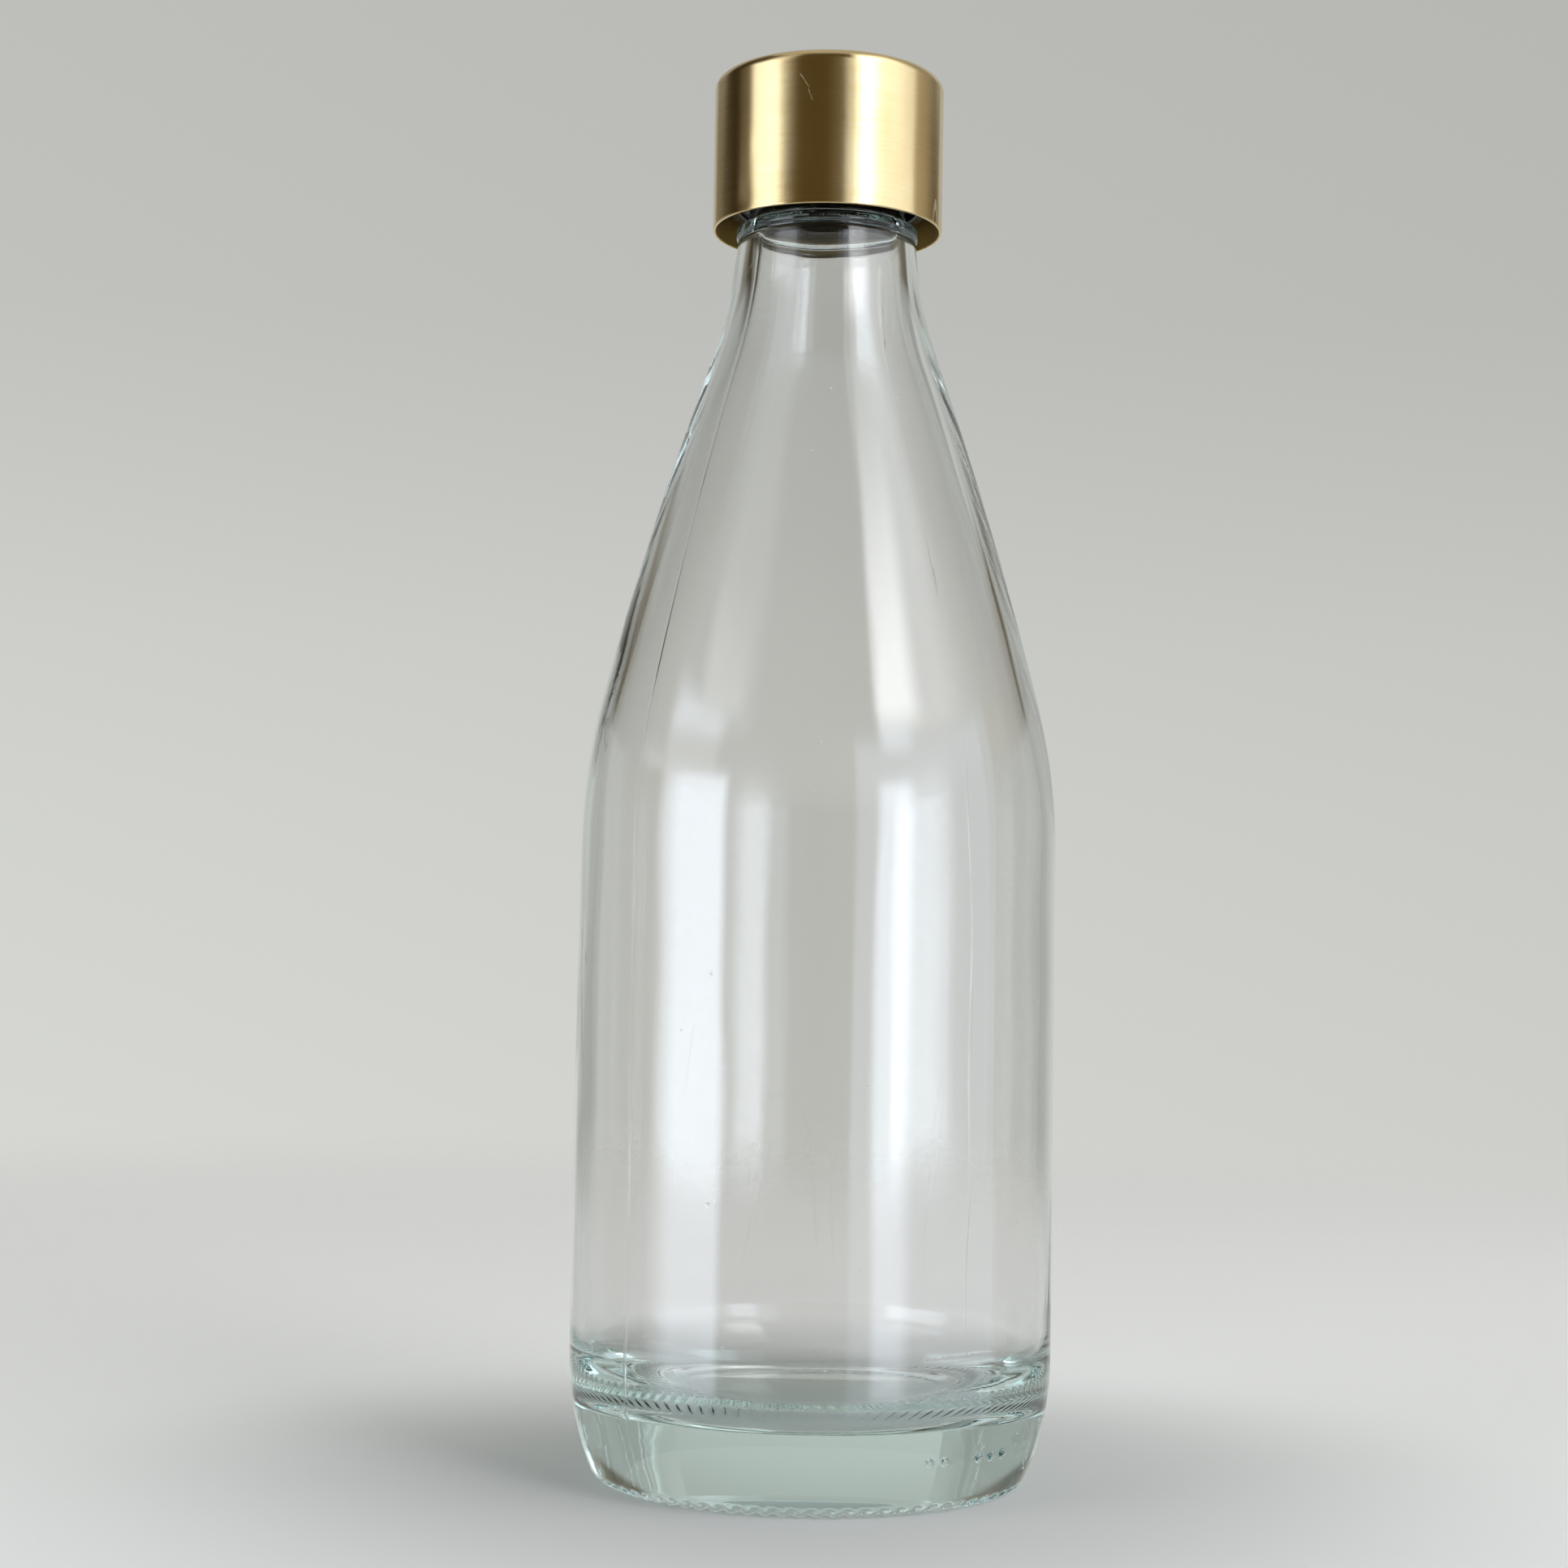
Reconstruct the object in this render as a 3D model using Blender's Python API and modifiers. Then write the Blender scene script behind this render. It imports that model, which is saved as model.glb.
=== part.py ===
"""Clear glass splash bottle with a gold metal screw cap over a threaded plastic inner cap.

Metres, +Z up. The origin is the centre of the ring that the bottle stands on.
"""
from math import acos, atan2, ceil, cos, pi, sin, tan

import bmesh
import bpy
from mathutils import Matrix, Vector

# Bottle outside, from the ground up
FOOT_RADIUS = 0.0264
FOOT_ROUND = 0.0025
HEEL_RISE = 0.0084
HEEL_ROUND = 0.0360
BODY_RADIUS = 0.0298
BODY_RISE = 0.0784
SHOULDER_ROUND = 0.0760
SHOULDER_LOWER_RISE = 0.0300
SHOULDER_BEND_RADIUS = 0.0222
SHOULDER_BEND_ROUND = 0.5150
SHOULDER_UPPER_RISE = 0.0281
NECK_ROOT_RADIUS = 0.01263
NECK_ROUND = 0.0460
NECK_RISE = 0.0103
NECK_TOP_RADIUS = 0.01126
BEAD_PROUD = 0.0003
BEAD_RISE = 0.0017
BEAD_ROUND = 0.0003
FINISH_RADIUS = 0.0099
FINISH_RISE = 0.0138
LIP_ROUND = 0.0006

# Bottle underside: a flat ring round a domed push-up
PUSH_UP_INSET = 0.0047
PUSH_UP_EDGE_RISE = 0.0016
PUSH_UP_EDGE_WIDTH = 0.0018
PUSH_UP_EDGE_ROUND = 0.0008
PUSH_UP_DOME_RISE = 0.0016

# Bottle inside, where the wall changes thickness from stretch to stretch
FLOOR_THICKNESS = 0.0078
FLOOR_DOME_RISE = 0.0012
FLOOR_ROUND = 0.0090
BODY_WALL = 0.0018
SHOULDER_WALL = 0.0021
NECK_ROOT_WALL = 0.0030
NECK_TOP_WALL = 0.0024
BORE_RADIUS = 0.0072
BORE_DEPTH = 0.0128
BORE_ROUND = 0.0020

# Thread of the finish and of the cap, which both run inside this space
THREAD_DEPTH = 0.0010
THREAD_CLEARANCE = 0.0003

# Orifice reducer, a plug with a pouring hole pressed into the bore
REDUCER_FLANGE_RADIUS = 0.0090
REDUCER_FLANGE_THICKNESS = 0.0009
REDUCER_PLUG_LENGTH = 0.0128
REDUCER_LEAD_IN = 0.0006
REDUCER_WALL = 0.0010
REDUCER_WEB = 0.0009
REDUCER_HOLE_RADIUS = 0.00285
REDUCER_SPOUT_WALL = 0.0008
REDUCER_SPOUT_RISE = 0.0014
REDUCER_CLEARANCE = 0.0003

# Sealing liner, a foam disc in the roof of the inner cap
LINER_THICKNESS = 0.0010
LINER_EDGE_ROUND = 0.0002
LINER_CLEARANCE = 0.0003

# Inner cap, whose ribs hold the metal shell
INNER_CAP_WALL = 0.0015
INNER_CAP_ROOF = 0.00175
INNER_CAP_ROUND = 0.0006
INNER_CAP_RECESS = 0.0027
RIB_COUNT = 24
RIB_PROUD = 0.0012
RIB_WIDTH = 0.0009
RIB_STOP = 0.0016
RIB_ROOT = 0.0004

# Gold shell drawn from sheet metal
SHELL_THICKNESS = 0.0004
SHELL_CLEARANCE = 0.0003
SHELL_TOP_ROUND = 0.0013
HEM_ROUND = 0.00012
HEM_ABOVE_NECK = 0.0013

# How finely round shapes are made
TURN_STEPS = 48
DOME_STEPS = 4
CHORD_TOLERANCE = 0.00005
MERGE_DISTANCE = 0.00001

# Heights and radii that follow from the sizes above
SHOULDER_HEIGHT = HEEL_RISE + BODY_RISE
SHOULDER_BEND_HEIGHT = SHOULDER_HEIGHT + SHOULDER_LOWER_RISE
NECK_ROOT_HEIGHT = SHOULDER_BEND_HEIGHT + SHOULDER_UPPER_RISE
NECK_TOP_HEIGHT = NECK_ROOT_HEIGHT + NECK_RISE
BEAD_TOP_HEIGHT = NECK_TOP_HEIGHT + BEAD_RISE
LIP_HEIGHT = BEAD_TOP_HEIGHT + FINISH_RISE
FLANGE_HEIGHT = LIP_HEIGHT + REDUCER_CLEARANCE
LINER_HEIGHT = FLANGE_HEIGHT + REDUCER_FLANGE_THICKNESS + LINER_CLEARANCE
ROOF_HEIGHT = LINER_HEIGHT + LINER_THICKNESS + LINER_CLEARANCE
INNER_CAP_TOP_HEIGHT = ROOF_HEIGHT + INNER_CAP_ROOF
SHELL_TOP_HEIGHT = INNER_CAP_TOP_HEIGHT + SHELL_CLEARANCE + SHELL_THICKNESS
HEM_HEIGHT = NECK_TOP_HEIGHT + HEM_ABOVE_NECK
SKIRT_HEIGHT = HEM_HEIGHT + INNER_CAP_RECESS
INNER_CAP_BORE_RADIUS = FINISH_RADIUS + THREAD_DEPTH + THREAD_CLEARANCE
INNER_CAP_RADIUS = INNER_CAP_BORE_RADIUS + INNER_CAP_WALL
RIB_RADIUS = INNER_CAP_RADIUS + RIB_PROUD
SHELL_BORE_RADIUS = RIB_RADIUS + SHELL_CLEARANCE
SHELL_RADIUS = SHELL_BORE_RADIUS + SHELL_THICKNESS


def clear_scene():
    for item in list(bpy.data.objects):
        bpy.data.objects.remove(item, do_unlink=True)


def collection(name):
    group = bpy.data.collections.new(name)
    bpy.context.scene.collection.children.link(group)
    return group


def material(name, colour, roughness, metallic=0.0, transmission=0.0):
    made = bpy.data.materials.new(name)
    made.use_nodes = True
    shader = made.node_tree.nodes["Principled BSDF"]
    shader.inputs["Base Color"].default_value = (*colour, 1.0)
    shader.inputs["Roughness"].default_value = roughness
    shader.inputs["Metallic"].default_value = metallic
    shader.inputs["Transmission Weight"].default_value = transmission
    made.diffuse_color = (*colour, 1.0)
    return made


def rounded(corners):
    """Outline through (radius, height, rounding) corners, each rounded by an arc tangent to both its runs."""
    places = [Vector(corner[:2]) for corner in corners]
    runs = [after - before for before, after in zip(places, places[1:])]
    reaches = [0.0] * len(corners)
    for index in range(1, len(corners) - 1):
        bend = runs[index - 1].angle(runs[index])
        reaches[index] = corners[index][2] * tan(bend / 2)
    # Two arcs that would meet on a run share it in proportion to their size
    shares = [min(1.0, run.length / max(reaches[index] + reaches[index + 1], run.length))
              for index, run in enumerate(runs)]
    outline = [places[0]]
    for index in range(1, len(corners) - 1):
        reach = reaches[index] * min(shares[index - 1], shares[index])
        outline += arc(places[index], runs[index - 1].normalized(), runs[index].normalized(), reach)
    outline.append(places[-1])
    return outline


def arc(corner, arriving, leaving, reach):
    """Points of the arc that leaves the arriving run and joins the leaving run this far from their corner."""
    if reach < MERGE_DISTANCE:
        return [corner]
    heading = atan2(arriving.y, arriving.x)
    bend = atan2(arriving.x * leaving.y - arriving.y * leaving.x, arriving.dot(leaving))
    radius = reach / tan(bend / 2)
    centre = corner - arriving * reach + Vector((-sin(heading), cos(heading))) * radius
    step_limit = 2 * acos(max(0.0, 1 - CHORD_TOLERANCE / abs(radius)))
    steps = ceil(abs(bend) / step_limit)
    turns = [heading + bend * step / steps for step in range(steps + 1)]
    return [centre + Vector((sin(turn), -cos(turn))) * radius for turn in turns]


def dome(rim_radius, rim_height, rise):
    """Outline of a shallow dome, from its middle on the axis out to just inside its rim."""
    fractions = [step / DOME_STEPS for step in range(DOME_STEPS)]
    return [Vector((rim_radius * part, rim_height + rise * (1 - part ** 2))) for part in fractions]


def turned(name, outline, height, shade, group, ring=False):
    """A piece turned about the Z axis. A ring's outline is a loop that stays clear of the axis."""
    edges = [(index, index + 1) for index in range(len(outline) - 1)]
    if ring:
        edges.append((len(outline) - 1, 0))
    mesh = bpy.data.meshes.new(name)
    mesh.from_pydata([(point.x, 0.0, point.y - height) for point in outline], edges, [])
    mesh.materials.append(shade)
    piece = bpy.data.objects.new(name, mesh)
    piece.location.z = height
    group.objects.link(piece)
    screw = piece.modifiers.new("Turn", "SCREW")
    screw.axis = "Z"
    screw.angle = 2 * pi
    screw.steps = TURN_STEPS
    screw.render_steps = TURN_STEPS
    screw.use_merge_vertices = True
    screw.merge_threshold = MERGE_DISTANCE
    screw.use_smooth_shade = True
    return piece


def bottle_inside():
    """From the middle of the floor, up the wall to the edge of the bore at the lip."""
    floor_height = PUSH_UP_EDGE_RISE + FLOOR_THICKNESS
    floor_radius = BODY_RADIUS - BODY_WALL
    bore_base = LIP_HEIGHT - BORE_DEPTH
    floor = dome(floor_radius - FLOOR_ROUND, floor_height, FLOOR_DOME_RISE)
    wall = rounded([
        (floor_radius - FLOOR_ROUND, floor_height, 0),
        (floor_radius, floor_height, FLOOR_ROUND),
        (floor_radius, SHOULDER_HEIGHT, SHOULDER_ROUND),
        (SHOULDER_BEND_RADIUS - SHOULDER_WALL, SHOULDER_BEND_HEIGHT, SHOULDER_BEND_ROUND),
        (NECK_ROOT_RADIUS - NECK_ROOT_WALL, NECK_ROOT_HEIGHT, NECK_ROUND),
        (NECK_TOP_RADIUS - NECK_TOP_WALL, NECK_TOP_HEIGHT, BORE_ROUND),
        (BORE_RADIUS, bore_base, BORE_ROUND),
        (BORE_RADIUS, LIP_HEIGHT, LIP_ROUND),
        (FINISH_RADIUS - LIP_ROUND, LIP_HEIGHT, 0),
    ])
    return floor + wall


def bottle_outside():
    """From the edge of the lip, down the neck, shoulder, body and heel to the middle of the bearing ring."""
    bead_radius = NECK_TOP_RADIUS + BEAD_PROUD
    return rounded([
        (FINISH_RADIUS - LIP_ROUND, LIP_HEIGHT, 0),
        (FINISH_RADIUS, LIP_HEIGHT, LIP_ROUND),
        (FINISH_RADIUS, BEAD_TOP_HEIGHT, BEAD_ROUND),
        (bead_radius, BEAD_TOP_HEIGHT - BEAD_ROUND, BEAD_ROUND),
        (bead_radius, NECK_TOP_HEIGHT + BEAD_ROUND, BEAD_ROUND),
        (NECK_TOP_RADIUS, NECK_TOP_HEIGHT, BEAD_ROUND),
        (NECK_ROOT_RADIUS, NECK_ROOT_HEIGHT, NECK_ROUND),
        (SHOULDER_BEND_RADIUS, SHOULDER_BEND_HEIGHT, SHOULDER_BEND_ROUND),
        (BODY_RADIUS, SHOULDER_HEIGHT, SHOULDER_ROUND),
        (BODY_RADIUS, HEEL_RISE, HEEL_ROUND),
        (FOOT_RADIUS, 0, FOOT_ROUND),
        (FOOT_RADIUS - PUSH_UP_INSET / 2, 0, 0),
    ])


def bottle_underside():
    """From the middle of the bearing ring, up the edge of the push-up and over its dome to the axis."""
    ring_inner = FOOT_RADIUS - PUSH_UP_INSET
    edge_top = ring_inner - PUSH_UP_EDGE_WIDTH
    dome_radius = edge_top - PUSH_UP_EDGE_WIDTH
    edge = rounded([
        (FOOT_RADIUS - PUSH_UP_INSET / 2, 0, 0),
        (ring_inner, 0, PUSH_UP_EDGE_ROUND),
        (edge_top, PUSH_UP_EDGE_RISE, PUSH_UP_EDGE_ROUND),
        (dome_radius, PUSH_UP_EDGE_RISE, 0),
    ])
    middle = dome(dome_radius, PUSH_UP_EDGE_RISE, PUSH_UP_DOME_RISE)
    return edge[1:] + middle[::-1]


def glass_bottle(group):
    shade = material("clear_glass", (0.86, 0.92, 0.90), 0.02, transmission=1.0)
    outline = bottle_inside() + bottle_outside()[1:] + bottle_underside()
    return turned("glass_bottle", outline, 0.0, shade, group)


def orifice_reducer(group):
    """A flanged cup that fills the bore, with a short spout round the pouring hole in its floor."""
    shade = material("black_polyethylene", (0.03, 0.03, 0.03), 0.35)
    flange_top = FLANGE_HEIGHT + REDUCER_FLANGE_THICKNESS
    plug_radius = BORE_RADIUS - REDUCER_CLEARANCE
    plug_end = FLANGE_HEIGHT - REDUCER_PLUG_LENGTH
    web_top = plug_end + REDUCER_WEB
    well_radius = plug_radius - REDUCER_WALL
    spout_radius = REDUCER_HOLE_RADIUS + REDUCER_SPOUT_WALL
    outline = [Vector(point) for point in (
        (well_radius, flange_top),
        (REDUCER_FLANGE_RADIUS, flange_top),
        (REDUCER_FLANGE_RADIUS, FLANGE_HEIGHT),
        (plug_radius, FLANGE_HEIGHT),
        (plug_radius, plug_end + REDUCER_LEAD_IN),
        (plug_radius - REDUCER_LEAD_IN, plug_end),
        (REDUCER_HOLE_RADIUS, plug_end),
        (REDUCER_HOLE_RADIUS, web_top + REDUCER_SPOUT_RISE),
        (spout_radius, web_top + REDUCER_SPOUT_RISE),
        (spout_radius, web_top),
        (well_radius, web_top),
    )]
    return turned("orifice_reducer", outline, FLANGE_HEIGHT, shade, group, ring=True)


def sealing_liner(group):
    shade = material("white_foam", (0.82, 0.82, 0.79), 0.75)
    radius = INNER_CAP_BORE_RADIUS - LINER_CLEARANCE
    outline = rounded([
        (0, LINER_HEIGHT + LINER_THICKNESS, 0),
        (radius, LINER_HEIGHT + LINER_THICKNESS, LINER_EDGE_ROUND),
        (radius, LINER_HEIGHT, LINER_EDGE_ROUND),
        (0, LINER_HEIGHT, 0),
    ])
    return turned("sealing_liner", outline, LINER_HEIGHT, shade, group)


def cap_ribs(guides):
    """Upright ribs round the inner cap, sunk into its wall, that stop short of its roof and its end."""
    shape = bmesh.new()
    depth = RIB_ROOT + RIB_PROUD
    height = INNER_CAP_TOP_HEIGHT - SKIRT_HEIGHT - 2 * RIB_STOP
    middle = Vector((RIB_RADIUS - depth / 2, 0, RIB_STOP + height / 2))
    for index in range(RIB_COUNT):
        turn = Matrix.Rotation(2 * pi * (index + 0.5) / RIB_COUNT, 4, "Z")
        size = Matrix.Diagonal((depth, RIB_WIDTH, height, 1))
        bmesh.ops.create_cube(shape, size=1, matrix=turn @ Matrix.Translation(middle) @ size)
    mesh = bpy.data.meshes.new("cap_ribs")
    shape.to_mesh(mesh)
    shape.free()
    ribs = bpy.data.objects.new("cap_ribs", mesh)
    ribs.location.z = SKIRT_HEIGHT
    ribs.display_type = "WIRE"
    ribs.hide_render = True
    guides.objects.link(ribs)
    return ribs


def inner_cap(group, guides):
    shade = material("black_polypropylene", (0.02, 0.02, 0.02), 0.18)
    outline = rounded([
        (0, INNER_CAP_TOP_HEIGHT, 0),
        (INNER_CAP_RADIUS, INNER_CAP_TOP_HEIGHT, INNER_CAP_ROUND),
        (INNER_CAP_RADIUS, SKIRT_HEIGHT, 0),
        (INNER_CAP_BORE_RADIUS, SKIRT_HEIGHT, 0),
        (INNER_CAP_BORE_RADIUS, ROOF_HEIGHT, 0),
        (0, ROOF_HEIGHT, 0),
    ])
    cap = turned("inner_cap", outline, SKIRT_HEIGHT, shade, group)
    union = cap.modifiers.new("Ribs", "BOOLEAN")
    union.operation = "UNION"
    union.solver = "EXACT"
    union.object = cap_ribs(guides)
    return cap


def outer_shell(group):
    shade = material("gold_anodised_aluminium", (0.72, 0.53, 0.24), 0.28, metallic=1.0)
    bore_top = SHELL_TOP_HEIGHT - SHELL_THICKNESS
    outline = rounded([
        (0, SHELL_TOP_HEIGHT, 0),
        (SHELL_RADIUS, SHELL_TOP_HEIGHT, SHELL_TOP_ROUND),
        (SHELL_RADIUS, HEM_HEIGHT, HEM_ROUND),
        (SHELL_BORE_RADIUS, HEM_HEIGHT, HEM_ROUND),
        (SHELL_BORE_RADIUS, bore_top, SHELL_TOP_ROUND - SHELL_THICKNESS),
        (0, bore_top, 0),
    ])
    return turned("outer_shell", outline, HEM_HEIGHT, shade, group)


def carrier(name, height, parent, children, group):
    """An empty on the bottle's axis that carries the pieces which move together."""
    empty = bpy.data.objects.new(name, None)
    empty.empty_display_size = SHELL_RADIUS
    empty.location.z = height
    group.objects.link(empty)
    if parent:
        attach(empty, parent)
    bpy.context.view_layer.update()
    for child in children:
        attach(child, empty)
    return empty


def attach(child, parent):
    bpy.context.view_layer.update()
    child.parent = parent
    child.matrix_parent_inverse = parent.matrix_world.inverted()


def build():
    clear_scene()
    group = collection("cologne_bottle")
    guides = collection("guides")
    bottle = glass_bottle(group)
    attach(orifice_reducer(group), bottle)
    liner = sealing_liner(group)
    cap = inner_cap(group, guides)
    shell = outer_shell(group)
    climb = carrier("closure_climb", HEM_HEIGHT, bottle, [liner], group)
    turn = carrier("closure_turn", HEM_HEIGHT, climb, [cap, shell], group)
    attach(guides.objects["cap_ribs"], turn)


build()
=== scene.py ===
import bpy
import numpy as np
from mathutils import Matrix


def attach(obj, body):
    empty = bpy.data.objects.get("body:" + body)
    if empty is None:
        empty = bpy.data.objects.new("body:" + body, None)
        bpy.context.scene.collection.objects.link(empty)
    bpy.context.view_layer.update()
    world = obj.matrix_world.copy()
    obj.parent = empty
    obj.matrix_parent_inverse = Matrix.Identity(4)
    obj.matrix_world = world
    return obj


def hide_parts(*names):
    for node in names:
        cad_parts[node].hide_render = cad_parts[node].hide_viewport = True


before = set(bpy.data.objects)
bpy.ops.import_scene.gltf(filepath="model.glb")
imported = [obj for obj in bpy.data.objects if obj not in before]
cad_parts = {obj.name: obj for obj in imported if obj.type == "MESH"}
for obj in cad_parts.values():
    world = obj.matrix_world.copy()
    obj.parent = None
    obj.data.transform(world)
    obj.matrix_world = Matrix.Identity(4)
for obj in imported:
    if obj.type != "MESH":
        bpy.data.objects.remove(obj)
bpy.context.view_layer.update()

mm = 0.001
fullTurn = 2 * np.pi
scene = bpy.context.scene


# Outlines and turned surfaces

def roundedLine(corners, arcStep=0.00002, sharp=1e-7, leastPoints=4):
    # Straight runs through (radius, height, rounding) corners. Each corner becomes an arc that
    # touches both runs, rounding * tan(bend / 2) from the corner.
    corner = np.array(corners, float) * mm
    place, rounding = corner[:, :2], corner[:, 2]
    run = np.diff(place, axis=0)
    length = np.hypot(*run.T)
    heading = np.arctan2(run[:, 1], run[:, 0])
    bend = (np.diff(heading) + np.pi) % fullTurn - np.pi
    reach = np.zeros(len(place))
    reach[1:-1] = rounding[1:-1] * np.tan(np.abs(bend) / 2)
    share = np.minimum(1, length / np.maximum(reach[:-1] + reach[1:], length))
    reach[1:-1] *= np.minimum(share[:-1], share[1:])
    parts = [place[:1]]
    for i in range(1, len(place) - 1):
        if reach[i] < sharp:
            parts.append(place[i:i + 1])
            continue
        radius = reach[i] / np.tan(bend[i - 1] / 2)
        before, turn = heading[i - 1], bend[i - 1]
        start = place[i] - reach[i] * np.array([np.cos(before), np.sin(before)])
        centre = start + radius * np.array([-np.sin(before), np.cos(before)])
        count = max(leastPoints, int(abs(radius * turn) / arcStep))
        angle = before + turn * np.linspace(0, 1, count)
        parts.append(centre + radius * np.stack([np.sin(angle), -np.cos(angle)], 1))
    parts.append(place[-1:])
    return np.concatenate(parts)


def spread(line, spacings, fineSteps=6000, same=1e-9):
    # Points along an outline, about as far apart as (height, spacing) pairs say: equal steps of
    # the integral of length / spacing.
    piece = np.hypot(*np.diff(line, axis=0).T)
    fine = np.concatenate([[0], np.cumsum(piece)])
    keep = np.concatenate([[True], piece > same])
    fine, line = fine[keep], line[keep]
    walk = np.linspace(0, fine[-1], fineSteps)
    radius, height = np.interp(walk, fine, line[:, 0]), np.interp(walk, fine, line[:, 1])
    level, gap = np.array(spacings, float).T * mm
    steps = np.diff(walk) / np.interp(height[1:], level, gap)
    weight = np.concatenate([[0], np.cumsum(steps)])
    count = max(3, int(round(weight[-1])))
    at = np.interp(np.linspace(0, weight[-1], count + 1), weight, walk)
    return np.stack([np.interp(at, walk, radius), np.interp(at, walk, height)], 1)


def outwardOf(line):
    # The unit normal of an outline that runs from the axis round the solid back to the axis
    along = np.gradient(line, axis=0)
    along /= np.maximum(np.hypot(*along.T), 1e-12)[:, None]
    return np.stack([-along[:, 1], along[:, 0]], 1)


def turnedPoints(line, angles, push=None):
    # (r cos a, r sin a, z) of each outline point, moved by push along the outline's normal
    radius = np.repeat(line[:, :1], len(angles), 1)
    height = np.repeat(line[:, 1:], len(angles), 1)
    if push is not None:
        normal = outwardOf(line)
        radius = radius + push * normal[:, :1]
        height = height + push * normal[:, 1:]
    return np.stack([radius * np.cos(angles), radius * np.sin(angles), height], 2)


def gridFaces(rows, columns, first):
    # Quads of a grid that closes on itself round the axis, each split into two triangles.
    i, j = np.meshgrid(np.arange(rows - 1), np.arange(columns), indexing="ij")
    k = (j + 1) % columns
    a, b = first + i * columns + j, first + (i + 1) * columns + j
    c, d = first + (i + 1) * columns + k, first + i * columns + k
    one, two = np.stack([a, b, c], 2), np.stack([a, c, d], 2)
    return np.concatenate([one.reshape(-1, 3), two.reshape(-1, 3)])


def seamFaces(upper, firstUpper, lower, firstLower):
    # Joins two rings whose angles differ, with one triangle for each edge of either ring
    i, j = np.arange(len(upper)), np.arange(len(lower))
    beside = (np.searchsorted(lower, upper, "left") - 1) % len(lower)
    across = (np.searchsorted(upper, lower, "right") - 1) % len(upper)
    one = np.stack([firstUpper + (i - 1) % len(upper), firstLower + beside, firstUpper + i], 1)
    two = np.stack([firstUpper + across, firstLower + (j - 1) % len(lower), firstLower + j], 1)
    return np.concatenate([one, two])


def fanFaces(columns, ring, pole, opening):
    j = np.arange(columns)
    k = (j + 1) % columns
    tip = np.full(columns, pole)
    return np.stack([tip, ring + j, ring + k] if opening else [ring + j, tip, ring + k], 1)


def solidMesh(name, blocks, loop=False):
    # blocks are (points on a grid, angles), stitched in order. The first and the last ring close
    # on a pole, or on each other where the outline is a loop.
    points, faces, starts, first = [], [], [], 0
    for grid, angles in blocks:
        starts.append(first)
        points.append(grid.reshape(-1, 3))
        faces.append(gridFaces(len(grid), len(angles), first))
        first += grid.shape[0] * grid.shape[1]
    for n in range(len(blocks) - 1):
        lastRing = starts[n + 1] - len(blocks[n][1])
        faces.append(seamFaces(blocks[n][1], lastRing, blocks[n + 1][1], starts[n + 1]))
    head, tail = blocks[0], blocks[-1]
    tailRing = first - len(tail[1])
    if loop:
        faces.append(seamFaces(tail[1], tailRing, head[1], 0))
    else:
        ends = head[0][0, :, 2].mean(), tail[0][-1, :, 2].mean()
        points.append(np.array([[0, 0, end] for end in ends]))
        faces.append(fanFaces(len(head[1]), 0, first, True))
        faces.append(fanFaces(len(tail[1]), tailRing, first + 1, False))
    return newPiece(name, np.concatenate(points), np.concatenate(faces))


def newPiece(name, points, faces):
    mesh = bpy.data.meshes.new(name)
    mesh.vertices.add(len(points))
    mesh.vertices.foreach_set("co", np.asarray(points, np.float32).ravel())
    sides = faces.shape[1]
    mesh.loops.add(faces.size)
    mesh.loops.foreach_set("vertex_index", faces.astype(np.int32).ravel())
    mesh.polygons.add(len(faces))
    mesh.polygons.foreach_set("loop_start", np.arange(len(faces), dtype=np.int32) * sides)
    mesh.update(calc_edges=True)
    mesh.validate()
    mesh.polygons.foreach_set("use_smooth", np.ones(len(mesh.polygons), bool))
    piece = bpy.data.objects.new(name, mesh)
    scene.collection.objects.link(piece)
    return piece


def turnedSolid(name, line, angles, push=None, loop=False):
    return solidMesh(name, [(turnedPoints(line, angles, push), angles)], loop)


def thinDisc(line, edge, every):
    # A flat disc needs few rings, so those nearer the axis than its edge are thinned
    disc = line[:, 0] < edge * mm
    return line[~disc | (np.arange(len(line)) % every == 0)]


def evenAngles(count):
    return np.arange(count) * fullTurn / count


def turnFrom(middle, angles):
    return (angles - middle + np.pi) % fullTurn - np.pi


def softStep(low, high, value):
    t = np.clip((value - low) / (high - low), 0, 1)
    return t * t * (3 - 2 * t)


def between(value, rise, fall):
    # Rises from 0 to 1 over one stretch and falls back to 0 over another, both in millimetres
    return softStep(*np.array(rise) * mm, value) * softStep(*np.array(fall) * mm, value)


def threadRidge(angles, heights, form):
    # Climbs one pitch for each turn, falls off with the distance from the helix, and fades out
    # at both ends
    height = np.zeros((len(heights), len(angles)))
    for lap in range(int(np.ceil(form["turns"])) + 1):
        turn = (angles / fullTurn - form["start"]) % 1 + lap
        middle = form["low"] * mm + form["pitch"] * mm * turn
        off = np.abs(heights[:, None] - middle)
        shape = softStep(form["foot"] * mm, form["crest"] * mm, off)
        fadeIn = softStep(0, form["fade"], turn)
        fadeOut = softStep(form["turns"], form["turns"] - form["fade"], turn)
        height = np.maximum(height, form["depth"] * mm * shape * (fadeIn * fadeOut))
    return height


def waves(angles, heights, seed, amounts, sway=0.8, swayPace=0.37, twist=0.6):
    # Uneven walls: sums of sines round and up the wall, with slow drift in between.
    # amounts are (waves round, waves per metre up, height) rows.
    rng = np.random.default_rng(seed)
    total = np.zeros((len(heights), len(angles)))
    for around, upward, size in amounts:
        phase, drift, lift = rng.uniform(0, fullTurn, 3)
        bend = sway * np.sin(fullTurn * upward * swayPace * heights + drift)[:, None]
        climb = fullTurn * upward * heights[:, None] + lift + twist * np.sin(2 * angles)[None, :]
        total += size * mm * np.sin(around * angles[None, :] + phase + bend) * np.cos(climb)
    return total


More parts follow.
